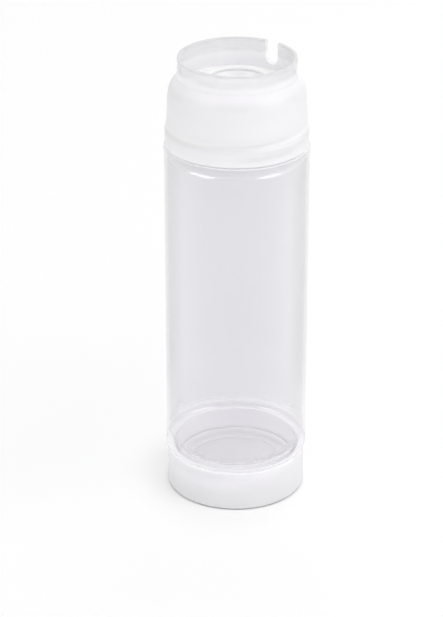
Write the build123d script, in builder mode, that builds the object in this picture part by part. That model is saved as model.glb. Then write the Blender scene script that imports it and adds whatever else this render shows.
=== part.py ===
from build123d import *
from math import radians, sqrt, tan
import os

# A squeeze bottle that is filled at one end and emptied at the other. It stands on its refill cap,
# with the dispensing cap on top. Lengths are in millimetres. The axis is Z, and Z is 0 where the
# refill cap's foot rests. Each outline is half a section, as radius and height, turned round Z.

# Bottle
body_radius = 36.0           # over the two bumper bands
body_length = 165.4          # from shoulder to shoulder
body_wall = 1.2
label_relief = 0.2           # how far the long panel lies back from the bumper bands
top_bumper = 3.7             # height of the band under the dispensing cap
base_bumper = 6.4            # height of the band over the refill cap
top_corner = 1.5             # outside rounding of each shoulder
base_corner = 1.8
shoulder_wall = 1.8          # thickness of each shoulder at its neck
heel_wall = 2.4
top_funnel = 3.6             # height of the slope inside each shoulder, which drains into the neck
base_funnel = 5.2
funnel_rounding = 4.0
neck_wall = 1.6
top_neck_height = 28.3
base_neck_height = 10.0
neck_root = 0.8              # rounding where each neck leaves its shoulder

# Refill cap
refill_step = 0.8            # how far it lies inside the bottle's widest radius
refill_taper = 0.2           # how much narrower the foot is than the mouth
refill_wall = 1.8
foot_depth = 8.7             # hollow under the panel, open below
panel_thickness = 1.8
panel_border = 3.5           # from the plug in to where the panel's middle sinks
panel_drop = 0.6
refill_plug_height = 2.6
foot_corner = 0.8

# Dispensing cap
band_step = 0.7              # how far the grip band lies inside the bottle's widest radius
band_height = 7.6
band_slope = 3.0
skirt_step = 0.8             # from the band in to the skirt
cap_wall = 1.6
shoulder_step = 1.0          # from the skirt in to the corner that the dome rounds
shoulder_drop = 4.0          # how far that corner lies under the crown's foot
shoulder_rounding = 13.0
crown_step = 5.4             # from the skirt in to the crown
crown_wall = 1.8
crown_height = 9.6           # over the shoulder
crown_depth = 4.7            # from the crown's foot outside down to the deck inside
deck_thickness = 1.6
deck_step = 0.7              # how far the deck's face lies over the seal's seat
plug_wall = 1.7
plug_height = 4.0
notch_width = 7.4            # drip notch through the crown
notch_depth = 11.8
notch_turn = -38.3           # degrees from +Y
cap_gap = 0.7                # between each cap's edge and the bottle's shoulder

# Seals, in the order that the caps close on them
seal_thickness = 1.2
refill_seal_thickness = 1.4
seal_clearance = 0.3         # beside each seal and flange
plug_clearance = 0.5         # between each plug and the bore that it enters
thread_room = 1.5            # between the lower neck and its cap, where the threads lie

# Valve and its seat
flange_radius = 15.5
flange_thickness = 1.4
sleeve_step = 1.6            # from the flange's edge in to the lip and the sleeve
sleeve_width = 1.6
dish_depth = 2.6
seat_height = 4.0            # over the deck
seat_wall = 1.2
seat_rounding = 0.8
lip_thickness = 1.8
socket_wall = 2.2
socket_drop = 1.4            # how far the socket reaches under the deck
membrane = 0.9
flap_reach = 5.0             # from the centre of the slits to each flap's root
slit_gap = 0.1
root_gap = 0.12
flap_opening = 50.0          # degrees that the groove over each flap's root leaves free
flap_count = 4
retainer_height = 3.0
retainer_wall = 1.4
snap_bead = 0.35
snap_clearance = 0.1

# Roundings that repeat
edge = 0.4
inside_corner = 0.8

# Heights, from the foot upwards
panel_top = foot_depth + panel_thickness
base_rim = panel_top + refill_seal_thickness
base_shoulder = base_rim + base_neck_height
refill_edge = base_shoulder - cap_gap
top_shoulder = base_shoulder + body_length
cap_edge = top_shoulder + cap_gap
band_top = cap_edge + band_height
skirt_foot = band_top + band_slope
top_rim = top_shoulder + top_neck_height
seal_seat = top_rim + seal_thickness
deck_top = seal_seat + deck_step
deck_underside = deck_top - deck_thickness
crown_foot = deck_top + crown_depth
shoulder_corner = crown_foot - shoulder_drop
crown_top = crown_foot + crown_height
seat_top = deck_top + seat_height
lip_underside = seat_top - lip_thickness
flange_underside = lip_underside - flange_thickness
head_underside = flange_underside - dish_depth
head_top = head_underside + membrane
retainer_underside = flange_underside - retainer_height
socket_mouth = deck_underside - socket_drop
bead_height = retainer_underside + retainer_height / 2
bead_reach = 2 * snap_bead   # from the bead's middle to the ends of its two flanks

# Radii that follow from the body and the fits
panel_radius = body_radius - label_relief
inner_radius = panel_radius - body_wall
refill_radius = body_radius - refill_step
refill_bore = refill_radius - refill_wall
base_neck_radius = refill_bore - thread_room
base_bore = base_neck_radius - neck_wall
refill_plug = base_bore - plug_clearance
panel_edge = refill_plug - plug_wall - panel_border
band_radius = body_radius - band_step
skirt_radius = band_radius - skirt_step
shoulder_radius = skirt_radius - shoulder_step
crown_radius = skirt_radius - crown_step
crown_bore = crown_radius - crown_wall
plug_radius = crown_radius
top_bore = plug_radius + plug_clearance
top_neck_radius = top_bore + neck_wall
groove_radius = top_neck_radius + seal_clearance
orifice_radius = flange_radius - sleeve_step
dish_radius = orifice_radius - sleeve_width
flange_socket = flange_radius + seal_clearance
seat_radius = flange_socket + seat_wall
socket_radius = flange_socket + socket_wall
retainer_radius = flange_socket - snap_clearance
retainer_bore = retainer_radius - retainer_wall
notch_start = (seat_radius + crown_bore) / 2
flap_root = flap_reach - root_gap

# The dome's rounding, as far as the shoulder leaves room for it
shoulder_rise = Vector(crown_radius - shoulder_radius, shoulder_drop)
skirt_rise = Vector(shoulder_radius - skirt_radius, shoulder_corner - skirt_foot)
shoulder_turn = radians(skirt_rise.get_angle(shoulder_rise))
dome_rounding = min(shoulder_rounding, (shoulder_rise.length - edge) / tan(shoulder_turn / 2))


def outline(*corners):
    """One closed outline from corners of radius, height and rounding."""
    return FilletPolyline(*[(r, z) for r, z, _ in corners], radius=[c[2] for c in corners], close=True)


# Refill cap: a cup that opens upwards, with a plug for the neck and a hollow foot
with BuildPart() as refill_cap:
    with BuildSketch(Plane.XZ):
        with BuildLine():
            outline(
                (refill_radius, refill_edge, edge),
                (refill_bore, refill_edge, edge),
                (refill_bore, panel_top, 0),
                (refill_plug, panel_top, 0),
                (refill_plug, panel_top + refill_plug_height, edge),
                (refill_plug - plug_wall, panel_top + refill_plug_height, edge),
                (refill_plug - plug_wall, panel_top, inside_corner),
                (panel_edge, panel_top, edge),
                (panel_edge - panel_drop, panel_top - panel_drop, edge),
                (0, panel_top - panel_drop, 0),
                (0, foot_depth, 0),
                (refill_bore, foot_depth, inside_corner),
                (refill_bore, 0, edge),
                (refill_radius - refill_taper, 0, foot_corner),
            )
        make_face()
    revolve(axis=Axis.Z)

# Flat seal in the refill cap, round its plug
with BuildPart() as refill_seal:
    with BuildSketch(Plane.XY.offset(panel_top)):
        Circle(refill_bore - seal_clearance)
        Circle(refill_plug + seal_clearance, mode=Mode.SUBTRACT)
    extrude(amount=refill_seal_thickness)

# Bottle: one thin wall with a neck at each end, funnelled inside towards both
with BuildPart() as bottle:
    with BuildSketch(Plane.XZ):
        with BuildLine():
            outline(
                (base_neck_radius, base_rim, edge),
                (base_neck_radius, base_shoulder, neck_root),
                (body_radius, base_shoulder, base_corner),
                (body_radius, base_shoulder + base_bumper, 0),
                (panel_radius, base_shoulder + base_bumper + label_relief, 0),
                (panel_radius, top_shoulder - top_bumper - label_relief, 0),
                (body_radius, top_shoulder - top_bumper, 0),
                (body_radius, top_shoulder, top_corner),
                (top_neck_radius, top_shoulder, neck_root),
                (top_neck_radius, top_rim, edge),
                (top_bore, top_rim, edge),
                (top_bore, top_shoulder - shoulder_wall, inside_corner),
                (inner_radius, top_shoulder - shoulder_wall - top_funnel, funnel_rounding),
                (inner_radius, base_shoulder + heel_wall + base_funnel, funnel_rounding),
                (base_bore, base_shoulder + heel_wall, inside_corner),
                (base_bore, base_rim, edge),
            )
        make_face()
    revolve(axis=Axis.Z)

# Flat seal on the upper rim, in the groove of the dispensing cap
with BuildPart() as dispensing_seal:
    with BuildSketch(Plane.XY.offset(top_rim)):
        Circle(groove_radius - seal_clearance)
        Circle(plug_radius + seal_clearance, mode=Mode.SUBTRACT)
    extrude(amount=seal_thickness)

# Dispensing cap: banded skirt, domed shoulder, crown to stand on and a seat for the valve
with BuildPart() as dispensing_cap:
    with BuildSketch(Plane.XZ):
        with BuildLine():
            outline(
                (band_radius, cap_edge, edge),
                (band_radius, band_top, inside_corner),
                (skirt_radius, skirt_foot, inside_corner),
                (shoulder_radius, shoulder_corner, dome_rounding),
                (crown_radius, crown_foot, edge),
                (crown_radius, crown_top, edge),
                (crown_bore, crown_top, edge),
                (crown_bore, deck_top, inside_corner),
                (seat_radius, deck_top, inside_corner),
                (seat_radius, seat_top, seat_rounding),
                (orifice_radius, seat_top, edge),
                (orifice_radius, lip_underside, edge),
                (flange_socket, lip_underside, 0),
                (flange_socket, bead_height + bead_reach, 0),
                (flange_socket + snap_bead, bead_height + snap_bead, 0),
                (flange_socket + snap_bead, bead_height - snap_bead, 0),
                (flange_socket, bead_height - bead_reach, 0),
                (flange_socket, socket_mouth, edge),
                (socket_radius, socket_mouth, edge),
                (socket_radius, deck_underside, inside_corner),
                (plug_radius - plug_wall, deck_underside, inside_corner),
                (plug_radius - plug_wall, seal_seat - plug_height, edge),
                (plug_radius, seal_seat - plug_height, edge),
                (plug_radius, seal_seat, 0),
                (groove_radius, seal_seat, 0),
                (skirt_radius - cap_wall, skirt_foot, inside_corner),
                (band_radius - cap_wall, band_top, inside_corner),
                (band_radius - cap_wall, cap_edge, edge),
            )
        make_face()
    revolve(axis=Axis.Z)
    # Drip notch with a round bottom, through the crown's wall
    with BuildSketch(Plane.XZ.rotated((0, 0, notch_turn)).offset(-notch_start)):
        with Locations((0, crown_top)):
            SlotOverall(2 * notch_depth, notch_width, rotation=90)
    extrude(amount=-crown_radius, mode=Mode.SUBTRACT)

# Valve: a soft flange, a sleeve that rolls and a dished head with a square window for its flaps
with BuildPart() as valve:
    with BuildSketch(Plane.XZ):
        with BuildLine():
            outline(
                (0, head_top, 0),
                (dish_radius, head_top, inside_corner),
                (orifice_radius, lip_underside, edge),
                (flange_radius, lip_underside, edge),
                (flange_radius, flange_underside, edge),
                (orifice_radius, flange_underside, edge),
                (dish_radius + membrane / 2, head_underside, inside_corner),
                (0, head_underside, 0),
            )
        make_face()
    revolve(axis=Axis.Z)
    with BuildSketch(Plane.XY.offset(head_underside)):
        Rectangle(2 * flap_reach, 2 * flap_reach)
    extrude(amount=2 * membrane, taper=-flap_opening / 2, mode=Mode.SUBTRACT)

# Snap ring that holds the valve's flange against the lip
with BuildPart() as valve_retainer:
    with BuildSketch(Plane.XZ):
        with BuildLine():
            outline(
                (retainer_bore, retainer_underside, inside_corner),
                (retainer_radius, retainer_underside, edge),
                (retainer_radius, bead_height - bead_reach, 0),
                (retainer_radius + snap_bead, bead_height - snap_bead, 0),
                (retainer_radius + snap_bead, bead_height + snap_bead, 0),
                (retainer_radius, bead_height + bead_reach, 0),
                (retainer_radius, flange_underside, edge),
                (retainer_bore, flange_underside, edge),
            )
        make_face()
    revolve(axis=Axis.Z)


def flap(turn):
    """One soft flap between the crossed slits. It bends at its root, along its lower edge."""
    tip = slit_gap / sqrt(2)
    top_root = flap_root - membrane * tan(radians(flap_opening / 2))
    with BuildPart() as piece:
        with BuildSketch(Plane.XZ.rotated((0, 0, turn))):
            with BuildLine():
                Polyline(
                    (0, head_underside),
                    (flap_root, head_underside),
                    (top_root, head_top),
                    (0, head_top),
                    close=True,
                )
            make_face()
        extrude(amount=flap_root, both=True)
        with BuildSketch(Plane.XY.offset(head_underside).rotated((0, 0, turn))):
            with BuildLine():
                Polyline((tip, 0), (flap_root, flap_root - tip), (flap_root, tip - flap_root), close=True)
            make_face()
        extrude(amount=membrane, mode=Mode.INTERSECT)
    return piece


pieces = {
    "refill_cap": refill_cap,
    "refill_seal": refill_seal,
    "bottle": bottle,
    "dispensing_seal": dispensing_seal,
    "dispensing_cap": dispensing_cap,
    "valve": valve,
    "valve_retainer": valve_retainer,
}
for number in range(flap_count):
    pieces[f"valve_flap_{number + 1}"] = flap(360 / flap_count * number)

os.makedirs("parts", exist_ok=True)
for name, piece in pieces.items():
    piece.part.label = name
    export_step(piece.part, f"parts/{name}.step")
print(f"height {crown_top:.1f} mm, upper rim at {top_rim:.1f} mm, lower rim at {base_rim:.1f} mm")
print(f"flap roots {flap_root:.2f} mm out, at height {head_underside:.2f} mm")
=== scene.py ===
from math import atan2, cos, degrees, pi, radians, sin

import bpy
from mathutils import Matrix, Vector


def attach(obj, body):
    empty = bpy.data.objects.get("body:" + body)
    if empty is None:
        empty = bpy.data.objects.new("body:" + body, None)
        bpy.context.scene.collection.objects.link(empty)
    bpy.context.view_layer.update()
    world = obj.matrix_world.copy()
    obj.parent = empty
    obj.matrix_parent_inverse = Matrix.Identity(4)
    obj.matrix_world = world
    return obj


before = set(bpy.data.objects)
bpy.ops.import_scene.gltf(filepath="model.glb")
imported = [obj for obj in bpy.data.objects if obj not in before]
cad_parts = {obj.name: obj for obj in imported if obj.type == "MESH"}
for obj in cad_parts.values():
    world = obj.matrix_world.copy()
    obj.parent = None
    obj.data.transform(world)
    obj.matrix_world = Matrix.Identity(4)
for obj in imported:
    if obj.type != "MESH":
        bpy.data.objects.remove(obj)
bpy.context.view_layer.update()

mm = 0.001


# Camera: the angle, distance and framing of the photograph

camera = {
    "elevation": 25.785,  # degrees above the horizon
    "distance": 1180.9 * mm,
    "lookHeight": 97.19 * mm,
    "turn": 0.3617,  # degrees, which puts the bottle a little right of the middle
    "roll": 0.2212,
    "focalPixels": 2336.47,
    "frameHeight": 617,  # pixels on the long side
    "sensor": 36,
    "clip": (0.05, 50),  # nearest and farthest distance that it sees
}


def makeCamera():
    up = radians(camera["elevation"])
    lookAt = Vector((0, 0, camera["lookHeight"]))
    back = Vector((0, -cos(up), sin(up)))
    bpy.ops.object.camera_add(location=lookAt + back * camera["distance"])
    viewer = bpy.context.object
    viewer.name = "camera"
    viewer.rotation_mode = "ZYX"
    viewer.rotation_euler = (pi / 2 - up, radians(camera["turn"]), radians(camera["roll"]))
    viewer.data.sensor_width = camera["sensor"]
    viewer.data.lens = camera["focalPixels"] / camera["frameHeight"] * camera["sensor"]
    viewer.data.clip_start, viewer.data.clip_end = camera["clip"]
    bpy.context.scene.camera = viewer


# Shader maths as plain expressions

hazeGrowth = 2.0  # the higher, the nearer to the edge a wall's haze thickens


class Flow:
    # A value that flows out of a node, so that maths on it adds Math nodes
    def __init__(self, shader, socket):
        self.shader = shader
        self.socket = socket

    def maths(self, operation, first, second):
        inputs = {0: first, 1: second}
        return self.shader.node("ShaderNodeMath", {"operation": operation}, inputs)

    def __add__(self, other):
        return self.maths("ADD", self, other)

    def __sub__(self, other):
        return self.maths("SUBTRACT", self, other)

    def __rsub__(self, other):
        return self.maths("SUBTRACT", other, self)

    def __mul__(self, other):
        return self.maths("MULTIPLY", self, other)

    __radd__ = __add__

    def power(self, other):
        return self.maths("POWER", self, other)

    def limited(self):
        return self.maths("MINIMUM", self, 1.0)


class Shader:
    # The nodes of one material or world, with one way to add any of them
    def __init__(self, owner):
        owner.use_nodes = True
        self.owner = owner
        self.tree = owner.node_tree
        self.tree.nodes.clear()

    def node(self, kind, settings=None, inputs=None, output=0):
        made = self.tree.nodes.new(kind)
        for name, value in (settings or {}).items():
            if name == "stops":
                self.setStops(made.color_ramp, value)
            else:
                setattr(made, name, value)
        for name, value in (inputs or {}).items():
            if isinstance(value, Flow):
                self.tree.links.new(value.socket, made.inputs[name])
            else:
                made.inputs[name].default_value = value
        return Flow(self, made.outputs[output]) if made.outputs else None

    def setStops(self, ramp, stops):
        while len(ramp.elements) < len(stops):
            ramp.elements.new(0.5)
        for element, (place, colour) in zip(ramp.elements, stops):
            element.position = place
            element.color = colour

    def place(self):
        return self.node("ShaderNodeTexCoord", output="Object")

    def noise(self, scale, detail, stretch=(1, 1, 1)):
        inputs = {"Vector": self.place(), "Scale": stretch}
        spread = self.node("ShaderNodeMapping", inputs=inputs)
        inputs = {"Vector": spread, "Scale": scale, "Detail": detail}
        return self.node("ShaderNodeTexNoise", inputs=inputs)

    def between(self, low, high, share):
        return low + share * (high - low)

    def blendColours(self, share, *colours):
        first, second = [item if isinstance(item, Flow) else (*item, 1) for item in colours]
        inputs = {0: share, 6: first, 7: second}
        return self.node("ShaderNodeMix", {"data_type": "RGBA"}, inputs, output=2)

    def height(self):
        # Height on the piece, in millimetres
        inputs = {"Vector": self.place()}
        return self.node("ShaderNodeSeparateXYZ", inputs=inputs, output="Z") * (1 / mm)

    def radius(self):
        # Distance from the bottle's axis, in millimetres
        inputs = {0: self.place(), 1: (1, 1, 0)}
        flat = self.node("ShaderNodeVectorMath", {"operation": "MULTIPLY"}, inputs)
        length = {"operation": "LENGTH"}
        return self.node("ShaderNodeVectorMath", length, {0: flat}, output="Value") * (1 / mm)

    def ramp(self, value, start, end):
        # Rises softly from 0 at the start to 1 at the end
        inputs = {"Value": value, "From Min": start, "From Max": end}
        return self.node("ShaderNodeMapRange", {"interpolation_type": "SMOOTHSTEP"}, inputs)

    def band(self, value, low, high, soft):
        # 1 from low to high and 0 beyond, with soft flanks
        rise = self.ramp(value, low - soft, low + soft)
        return rise * (1 - self.ramp(value, high - soft, high + soft))

    def bump(self, height, distance):
        return self.node("ShaderNodeBump", inputs={"Height": height, "Distance": distance})

    def ray(self, kind):
        return self.node("ShaderNodeLightPath", output=kind)

    def mixShaders(self, share, first, second):
        return self.node("ShaderNodeMixShader", inputs={0: share, 1: first, 2: second})

    def haze(self, cover):
        # Share of the view behind that the plastic hides, seen square on and edge on
        return self.between(*cover, self.edgeOn().power(hazeGrowth))

    def edgeOn(self):
        # 0 where a face is seen square on, 1 where it is seen edge on
        return self.node("ShaderNodeLayerWeight", inputs={"Blend": 0.5}, output="Facing")

    def metFromOutside(self):
        return 1 - self.node("ShaderNodeNewGeometry", output="Backfacing")

    def seeThrough(self, surface, cover):
        clear = self.node("ShaderNodeBsdfTransparent", inputs={"Color": (1, 1, 1, 1)})
        return self.mixShaders(cover, clear, surface)

    def letLightIn(self, surface, tint):
        # Light passes with only a slight tint, so the haze dims the view and not what stands inside
        clear = self.node("ShaderNodeBsdfTransparent", inputs={"Color": (*tint, 1)})
        return self.mixShaders(self.ray("Is Camera Ray"), clear, surface)

    def seenDirectly(self):
        # 1 for what the camera sees, also by gloss or through glass
        total = self.ray("Is Camera Ray") + self.ray("Is Glossy Ray")
        return (total + self.ray("Is Transmission Ray")).limited()

    def finish(self, surface, output="ShaderNodeOutputMaterial"):
        self.node(output, inputs={"Surface": surface})
        return self.owner


def newMaterial(name):
    return Shader(bpy.data.materials.new(name))


# Plastics. Heights and radii are in millimetres: two numbers say where a change starts and ends,
# and three where a band starts and ends and how soft its flanks are

clearPlastic = {
    # Lilac haze seen square on, lighter half way round the wall as a painted reflection of the
    # white surroundings, and greyer edge on
    "colours": [
        (0.1, (0.62, 0.61, 0.68, 1)),
        (0.4, (0.78, 0.765, 0.805, 1)),
        (0.85, (0.52, 0.52, 0.535, 1)),
    ],
    "cover": (0.22, 0.55),  # share of the view that each face hides, seen square on and edge on
    "lightTint": (0.98, 0.98, 0.985),  # what each face lets through of the light
    "roughness": (0.14, 0.2),
    "patches": (60, 3.0),  # of rougher wall: how many per metre, and their detail
    "ior": 1.49,
    "coatRoughness": 0.08,
    "waves": (35, 1.0, (1, 1, 0.3)),  # of the blown wall: how many per metre, detail and stretch
    "waveHeight": 0.25 * mm,
    "inside": (34.9, 35.4),  # radii that part the wall's inside from its outside
    "body": (23.6, 186.9, 0.3),  # the wall between the two necks
    "neckColour": (0.99, 0.98, 1.0),
    "neckCover": (0.92, 0.92),  # the thread and the cap's wall behind it blur to white
    "upperNeck": (187.6, 188.4),  # where the upper neck begins, which is clearer
    "upperNeckColour": (0.84, 0.83, 0.86),
    "upperNeckCover": (0.3, 0.6),
    "base": (44.0, 70.0),  # painted light from the refill cap, which fades up the wall between these heights
    "paintedCapGlowShare": 0.6,
    "baseColour": (0.93, 0.91, 0.95),
    "heel": (24.0, 29.0, 0.4),  # the thick ring over the refill cap
    "heelColour": (0.8, 0.78, 0.83),
    "heelCover": (0.15, 0.4),
    "ring": (21.5, 25.2, 0.4),  # the foot of the wall, with the milky cap behind it
    "ringColour": (0.87, 0.855, 0.885),
    "ringCover": (0.85, 0.85),
    "shoulder": (181.6, 185.4, 0.3),  # the slope inside the shoulder, which mirrors the lamps; its paler colour is painted light over the shade under the dispensing cap
    "shoulderColour": (0.8, 0.8, 0.815),
    "shoulderCover": (0.5, 0.5),
    "collar": (184.6, 187.4, 0.4),  # the pale edge under the dispensing cap, painted light over its shade
    "paintedLightCollarShare": 0.8,
    "collarColour": (0.86, 0.85, 0.88),
    "paintedRims": [(27.4, 28.4, 0.5), (24.2, 25.0, 0.4)],  # the heel's rims, with painted highlights
    "rimColour": (0.95, 0.94, 0.97),
    "rimCover": (0.35, 0.35),
    "dull": (30.0, 34.0),  # below these heights the inside of the heel blurs what it mirrors
    "dullTop": (185.4, 186.0),  # above these the whole wall does
    "dullRoughness": 0.6,
}


def makeClearPlastic():
    shader = newMaterial("clearPlastic")
    unevenness = shader.noise(*clearPlastic["patches"])
    waves = shader.noise(*clearPlastic["waves"])
    height = shader.height()
    outside = shader.ramp(shader.radius(), *clearPlastic["inside"])
    base = 1 - shader.ramp(height, *clearPlastic["base"])
    collar = shader.band(height, *clearPlastic["collar"])
    shoulder = shader.band(height, *clearPlastic["shoulder"]) * (1 - outside)
    # Several zones paint light on the wall: the refill cap's glow at the base, the pale shoulder
    # and collar under the dispensing cap, and the highlights on the heel's rims
    zones = [
        (1 - shader.band(height, *clearPlastic["body"]), "neck"),
        (shader.ramp(height, *clearPlastic["upperNeck"]), "upperNeck"),
        (base * clearPlastic["paintedCapGlowShare"], "base"),
        (shader.band(height, *clearPlastic["heel"]), "heel"),
        (shader.band(height, *clearPlastic["ring"]) * outside, "ring"),
        (shoulder, "shoulder"),
        (collar * clearPlastic["paintedLightCollarShare"], "collar"),
    ]
    zones += [(shader.band(height, *rim) * outside, "rim") for rim in clearPlastic["paintedRims"]]

    stops = {"stops": clearPlastic["colours"]}
    colour = shader.node("ShaderNodeValToRGB", stops, {"Fac": shader.edgeOn()})
    cover = shader.haze(clearPlastic["cover"])
    for share, name in zones:
        colour = shader.blendColours(share, colour, clearPlastic[f"{name}Colour"])
        if f"{name}Cover" in clearPlastic:
            cover = shader.between(cover, shader.haze(clearPlastic[f"{name}Cover"]), share)

    dull = (1 - shader.ramp(height, *clearPlastic["dull"])) * (1 - outside)
    dull = dull + shader.ramp(height, *clearPlastic["dullTop"])
    roughness = shader.between(*clearPlastic["roughness"], unevenness)
    surface = shader.node("ShaderNodeBsdfPrincipled", inputs={
        "Base Color": colour,
        "Roughness": shader.between(roughness, clearPlastic["dullRoughness"], dull),
        "IOR": clearPlastic["ior"],
        "Coat Weight": 1 - dull,
        "Coat Roughness": clearPlastic["coatRoughness"],
        "Coat IOR": clearPlastic["ior"],
        "Normal": shader.bump(waves, clearPlastic["waveHeight"]),
    })
    surface = shader.seeThrough(surface, cover)
    return shader.finish(shader.letLightIn(surface, clearPlastic["lightTint"]))


milkyPlastic = {
    "colour": (0.868, 0.856, 0.876),
    "colourWorn": (0.853, 0.841, 0.861),
    "patches": (45, 3.0),  # of worn plastic: how many per metre, and their detail
    "roughness": (0.45, 0.55),
    "ior": 1.49,
    "specular": 0.25,
    "scatterDepth": 3.0 * mm,
    "grain": (900, 2.0),  # the same
    "grainHeight": 0.02 * mm,
    "innerColour": (0.985, 0.985, 0.99),  # inside both caps and the crown's well, painted lighter to lift their shade
    # Refill cap
    "refill": (29.0, 30.0),  # its top, below which its colours hold
    "refillColour": (0.845, 0.83, 0.86),
    "cup": (34.2, 35.2),  # radii that part the cap's inside from its outside
    "panel": (29.0, 30.5),  # radii where the panel ends
    "panelHeights": (9.0, 11.0, 0.3),
    "panelColour": (0.76, 0.745, 0.77),  # painted shade of the dark hollow of the foot, seen under the thin panel
    "foot": (0.5, 1.1),  # below these heights the foot is darker: a painted contact shadow
    "footColour": (0.4, 0.39, 0.41),
    # Dispensing cap
    "paintedShadeFlare": (194.6, 196.0, 0.8),  # over the grip band, painted darker as shade on a slope that faces the light
    "paintedShadeFlareColour": (0.83, 0.817, 0.838),
    "paintedLightFold": (197.4, 199.0, 0.8),  # the hollow over the flare, painted lighter to lift its shade
    "paintedLightFoldColour": (0.93, 0.918, 0.937),
    "well": (26.4, 27.2),  # radii where the well ends at the crown's wall
    "wellHeights": (217.0, 223.0, 0.5),
    "crownInside": (27.6, 28.4),  # radii that part the wall's inside from its outside
    "wall": (217.6, 220.0),  # where the inside of the wall begins, painted darker as shade inside the crown
    "wallColour": (0.82, 0.816, 0.83),
    "crown": (224.0, 228.0),  # where the wall thins, so that it shows what is behind it
    "crownColour": (0.77, 0.766, 0.78),
    # the crown's inside is painted darker still, as shade
    "crownInnerColour": (0.69, 0.686, 0.7),
    "crownCover": (0.66, 0.94),
    # The crown's top rim is painted darker, as shade against the light that falls on it from above
    "rim": (230.6, 231.2),
    "rimColour": (0.64, 0.634, 0.647),
    "backs": (221.5, 222.0),  # above these heights no face shows on its back
}


def makeMilkyPlastic():
    shader = newMaterial("milkyPlastic")
    unevenness = shader.noise(*milkyPlastic["patches"])
    grain = shader.noise(*milkyPlastic["grain"])
    height, radius = shader.height(), shader.radius()
    refill = 1 - shader.ramp(height, *milkyPlastic["refill"])
    pastPanel = shader.ramp(radius, *milkyPlastic["panel"])
    pastWell = shader.ramp(radius, *milkyPlastic["well"])
    cup = (1 - shader.ramp(radius, *milkyPlastic["cup"])) * pastPanel * refill
    well = (1 - pastWell) * shader.band(height, *milkyPlastic["wellHeights"])
    crownInner = 1 - shader.ramp(radius, *milkyPlastic["crownInside"])
    crown = shader.ramp(height, *milkyPlastic["crown"])
    rim = shader.ramp(height, *milkyPlastic["rim"])
    # Several zones paint light and shade: lighter insides and fold, a shaded panel, flare, crown
    # inside and rim, and a contact shadow at the foot
    zones = [
        (refill, "refill"),
        (cup + well, "inner"),
        ((1 - pastPanel) * shader.band(height, *milkyPlastic["panelHeights"]), "panel"),
        (1 - shader.ramp(height, *milkyPlastic["foot"]), "foot"),
        (shader.band(height, *milkyPlastic["paintedShadeFlare"]), "paintedShadeFlare"),
        (shader.band(height, *milkyPlastic["paintedLightFold"]), "paintedLightFold"),
        (crownInner * pastWell * shader.ramp(height, *milkyPlastic["wall"]), "wall"),
        (crown, "crown"),
        (crownInner * crown, "crownInner"),
        (rim, "rim"),
    ]
    colour = shader.blendColours(unevenness, milkyPlastic["colour"], milkyPlastic["colourWorn"])
    for share, name in zones:
        colour = shader.blendColours(share, colour, milkyPlastic[f"{name}Colour"])
    surface = shader.node("ShaderNodeBsdfPrincipled", inputs={
        "Base Color": colour,
        "Roughness": shader.between(*milkyPlastic["roughness"], unevenness),
        "IOR": milkyPlastic["ior"],
        "Specular IOR Level": milkyPlastic["specular"],
        "Subsurface Weight": 1.0,
        "Subsurface Radius": (1, 1, 1),
        "Subsurface Scale": milkyPlastic["scatterDepth"],
        "Normal": shader.bump(grain, milkyPlastic["grainHeight"]),
    })
    cover = shader.between(shader.haze(milkyPlastic["crownCover"]), 1.0, rim)
    cover = shader.between(1.0, cover, crown)
    bothSides = 1 - shader.ramp(height, *milkyPlastic["backs"])
    cover = cover * shader.between(shader.metFromOutside(), 1.0, bothSides)
    return shader.finish(shader.seeThrough(surface, cover))


silicone = {
    "colour": (0.93, 0.93, 0.95),
    "colourDusty": (0.95, 0.95, 0.97),
    "dust": (220, 4.0),  # how many specks per metre, and their detail
    "roughness": (0.4, 0.55),
    "ior": 1.41,
    "scatterDepth": 2.0 * mm,
}


def makeSilicone():
    shader = newMaterial("silicone")
    dust = shader.noise(*silicone["dust"])
    surface = shader.node("ShaderNodeBsdfPrincipled", inputs={
        "Base Color": shader.blendColours(dust, silicone["colour"], silicone["colourDusty"]),
        "Roughness": shader.between(*silicone["roughness"], dust),
        "IOR": silicone["ior"],
        "Subsurface Weight": 1.0,
        "Subsurface Radius": (1, 1, 1),
        "Subsurface Scale": silicone["scatterDepth"],
    })
    return shader.finish(surface)


# Which finish each CAD node gets, by the record's material slot

finishes = {
    "clear_plastic": makeClearPlastic(),
    "milky_plastic": makeMilkyPlastic(),
    "silicone": makeSilicone(),
}
dress = {
    "clear_plastic": ["bottle"],
    "milky_plastic": ["refill_cap", "dispensing_cap", "valve_retainer"],
    "silicone": [
        "refill_seal", "dispensing_seal",
        "valve", "valve_flap_1", "valve_flap_2", "valve_flap_3", "valve_flap_4",
    ],
}


def dressNodes():
    for slot, names in dress.items():
        for name in names:
            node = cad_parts[name]
            node.data.materials.clear()
            node.data.materials.append(finishes[slot])


# Threads: on each neck and in each cap, two beads of one lead that lie between each other's turns

threads = {
    "starts": 2,
    "lead": 12 * mm,
    "sunk": 0.25 * mm,  # how far a bead's foot reaches into its wall
    "sectionPoints": 16,
    "stepAngle": 3.75,  # degrees
    "runOut": 5,  # steps over which each end fades into its wall
    "endSize": 0.12,
    "reach": 0.01 * mm,  # how near to the section's foot a point belongs to it
    "startMargin": 1,  # degrees before the start that still count as the start
    "weld": 0.001 * mm,
    "smoothAngle": 40,
}

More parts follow.
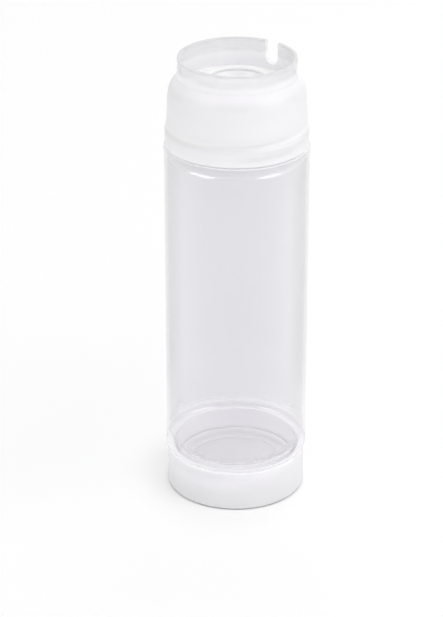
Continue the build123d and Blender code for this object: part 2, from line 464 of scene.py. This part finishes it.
# Radii of wall and crest, height and angle of the lower end, sweep and width. Lengths are in
# millimetres, angles in degrees
threadRuns = {
    "upper_neck_thread": {
        "body": "bottle", "slot": "clear_plastic",
        "wall": 31.2, "crest": 32.2, "low": 192.0, "from": 20, "sweep": 345, "width": 2.4,
    },
    "lower_neck_thread": {
        "body": "bottle", "slot": "clear_plastic",
        "wall": 31.9, "crest": 32.9, "low": 14.2, "from": 35, "sweep": 165, "width": 2.2,
    },
    "dispensing_cap_thread": {
        "body": "dispensing_cap", "slot": "milky_plastic",
        "wall": 33.7, "crest": 31.7, "low": 191.2, "from": 86, "sweep": 240, "width": 2.6,
    },
    "refill_cap_thread": {
        "body": "refill_cap", "slot": "milky_plastic",
        "wall": 33.4, "crest": 32.3, "low": 13.0, "from": 89, "sweep": 180, "width": 2.2,
    },
}


def selectWhere(piece, test):
    # Leaves edit mode on, with only the vertices selected whose place passes the test
    bpy.ops.object.mode_set(mode="OBJECT")
    for item in [*piece.data.vertices, *piece.data.edges, *piece.data.polygons]:
        item.select = False
    for vertex in piece.data.vertices:
        vertex.select = test(vertex.co)
    bpy.ops.object.mode_set(mode="EDIT")
    bpy.ops.mesh.select_mode(type="VERT")


def pickAlone(piece):
    bpy.ops.object.select_all(action="DESELECT")
    piece.select_set(True)
    bpy.context.view_layer.objects.active = piece


def settle(piece):
    # Puts the piece's place into its mesh
    pickAlone(piece)
    bpy.ops.object.transform_apply(location=True, rotation=True, scale=True)


def finishPiece(piece, body, slot):
    pickAlone(piece)
    bpy.ops.object.mode_set(mode="EDIT")
    bpy.ops.mesh.select_all(action="SELECT")
    bpy.ops.mesh.remove_doubles(threshold=threads["weld"])
    bpy.ops.mesh.normals_make_consistent(inside=False)
    bpy.ops.object.mode_set(mode="OBJECT")
    bpy.ops.object.shade_smooth_by_angle(angle=radians(threads["smoothAngle"]))
    piece.data.materials.clear()
    piece.data.materials.append(finishes[slot])
    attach(piece, body)


def makeBead(name, run):
    wall, crest = run["wall"] * mm, run["crest"] * mm
    side = 1 if crest > wall else -1
    bpy.ops.object.select_all(action="DESELECT")
    bpy.ops.mesh.primitive_circle_add(
        vertices=threads["sectionPoints"], radius=1,
        location=(wall, 0, 0), rotation=(pi / 2, 0, 0),
    )
    bead = bpy.context.object
    bead.name = name
    bead.scale = (abs(crest - wall), run["width"] * mm / 2, 1)
    settle(bead)

    # The half inside the wall goes, and the rest is closed to a D
    selectWhere(bead, lambda place: (place.x - wall) * side < -threads["sunk"])
    bpy.ops.mesh.delete(type="VERT")
    bpy.ops.object.mode_set(mode="OBJECT")
    foot = min((vertex.co.x - wall) * side for vertex in bead.data.vertices)
    selectWhere(bead, lambda place: (place.x - wall) * side < foot + threads["reach"])
    bpy.ops.mesh.edge_face_add()
    bpy.ops.object.mode_set(mode="OBJECT")

    steps = round(run["sweep"] / threads["stepAngle"])
    screw = bead.modifiers.new("helix", "SCREW")
    screw.angle = radians(run["sweep"])
    screw.screw_offset = threads["lead"] * run["sweep"] / 360
    screw.steps = screw.render_steps = steps
    bpy.ops.object.modifier_apply(modifier="helix")

    def step(place):
        angle = degrees(atan2(place.y, place.x)) + threads["startMargin"]
        return round((angle % 360 - threads["startMargin"]) / threads["stepAngle"])

    # Each end shrinks towards its wall and is closed
    for end, inwards in ((0, 1), (steps, -1)):
        for count in range(threads["runOut"]):
            at = end + inwards * count
            turn = radians(at * threads["stepAngle"])
            size = threads["endSize"] + (1 - threads["endSize"]) * count / threads["runOut"]
            centre = (wall * cos(turn), wall * sin(turn), threads["lead"] * turn / (2 * pi))
            selectWhere(bead, lambda place: step(place) == at)
            bpy.ops.transform.resize(value=(size, size, size), center_override=centre)
        selectWhere(bead, lambda place: step(place) == end)
        bpy.ops.mesh.edge_face_add()
    bpy.ops.object.mode_set(mode="OBJECT")
    return bead


def makeThreads():
    for name, run in threadRuns.items():
        first = makeBead(f"{name}_1", run)
        beads = [first]
        for number in range(1, threads["starts"]):
            pickAlone(first)
            bpy.ops.object.duplicate(linked=False)
            beads.append(bpy.context.object)
            beads[-1].name = f"{name}_{number + 1}"
        for number, bead in enumerate(beads):
            bead.location.z = run["low"] * mm
            bead.rotation_euler.z = radians(run["from"] + 360 / threads["starts"] * number)
            settle(bead)
            finishPiece(bead, run["body"], run["slot"])


# Floor, backdrop and light

stage = {
    "floorSize": 12,
    "floorColour": (0.99, 0.99, 0.99),
    "glow": 0.02,  # share of the floor's white that shadows can't take away
    "worldLight": 0.72,
    # Power in watts, then degrees from the camera's side towards the right and above the horizon
    "lamps": {
        "keyLamp": (19, 66, 52),
        "fillLamp": (3, -72, 36),
        "frontLamp": (14, 8, 40),
        "backLamp": (14, 170, 50),
    },
    # The same for the lamps that only the gloss sees
    "sheens": {
        "rightSheen": (140, 60, 28),
        "leftSheen": (140, -62, 28),
    },
    "lampTarget": 0.12,  # height that every lamp looks at
    "lampDistance": 3.2,
    "lampSize": 2.2,
}


def makeStage():
    bpy.ops.mesh.primitive_plane_add(size=stage["floorSize"])
    floor = bpy.context.object
    floor.name = "floor"
    shader = newMaterial("paleFloor")
    lit = shader.node("ShaderNodeBsdfDiffuse", inputs={"Color": (*stage["floorColour"], 1)})
    white = shader.node("ShaderNodeEmission", inputs={"Strength": 1.0})
    surface = shader.mixShaders(shader.seenDirectly() * stage["glow"], lit, white)
    floor.data.materials.append(shader.finish(surface))

    # The backdrop is white, and lights the bottle a little less
    backdrop = Shader(bpy.data.worlds.new("studio"))
    strength = backdrop.between(stage["worldLight"], 1.0, backdrop.seenDirectly())
    inputs = {"Color": (1, 1, 1, 1), "Strength": strength}
    white = backdrop.node("ShaderNodeBackground", inputs=inputs)
    bpy.context.scene.world = backdrop.finish(white, "ShaderNodeOutputWorld")


def makeLamp(name, power, turn, height, gloss):
    aside, up = radians(turn), radians(height)
    out = Vector((sin(aside) * cos(up), -cos(aside) * cos(up), sin(up)))
    target = Vector((0, 0, stage["lampTarget"]))
    bpy.ops.object.light_add(type="AREA", location=target + out * stage["lampDistance"])
    lamp = bpy.context.object
    lamp.name = name
    lamp.data.energy = power
    lamp.data.size = stage["lampSize"]
    lamp.rotation_euler = (-out).to_track_quat("-Z", "Y").to_euler()
    lamp.visible_glossy = gloss
    lamp.visible_diffuse = not gloss
    lamp.visible_transmission = not gloss


makeCamera()
print("camera set")
dressNodes()
print("nodes dressed")
makeThreads()
print("threads cut")
makeStage()
for kind in ("lamps", "sheens"):
    for name, settings in stage[kind].items():
        makeLamp(name, *settings, gloss=kind == "sheens")
bpy.context.scene.view_settings.view_transform = "Standard"
print("stage lit")
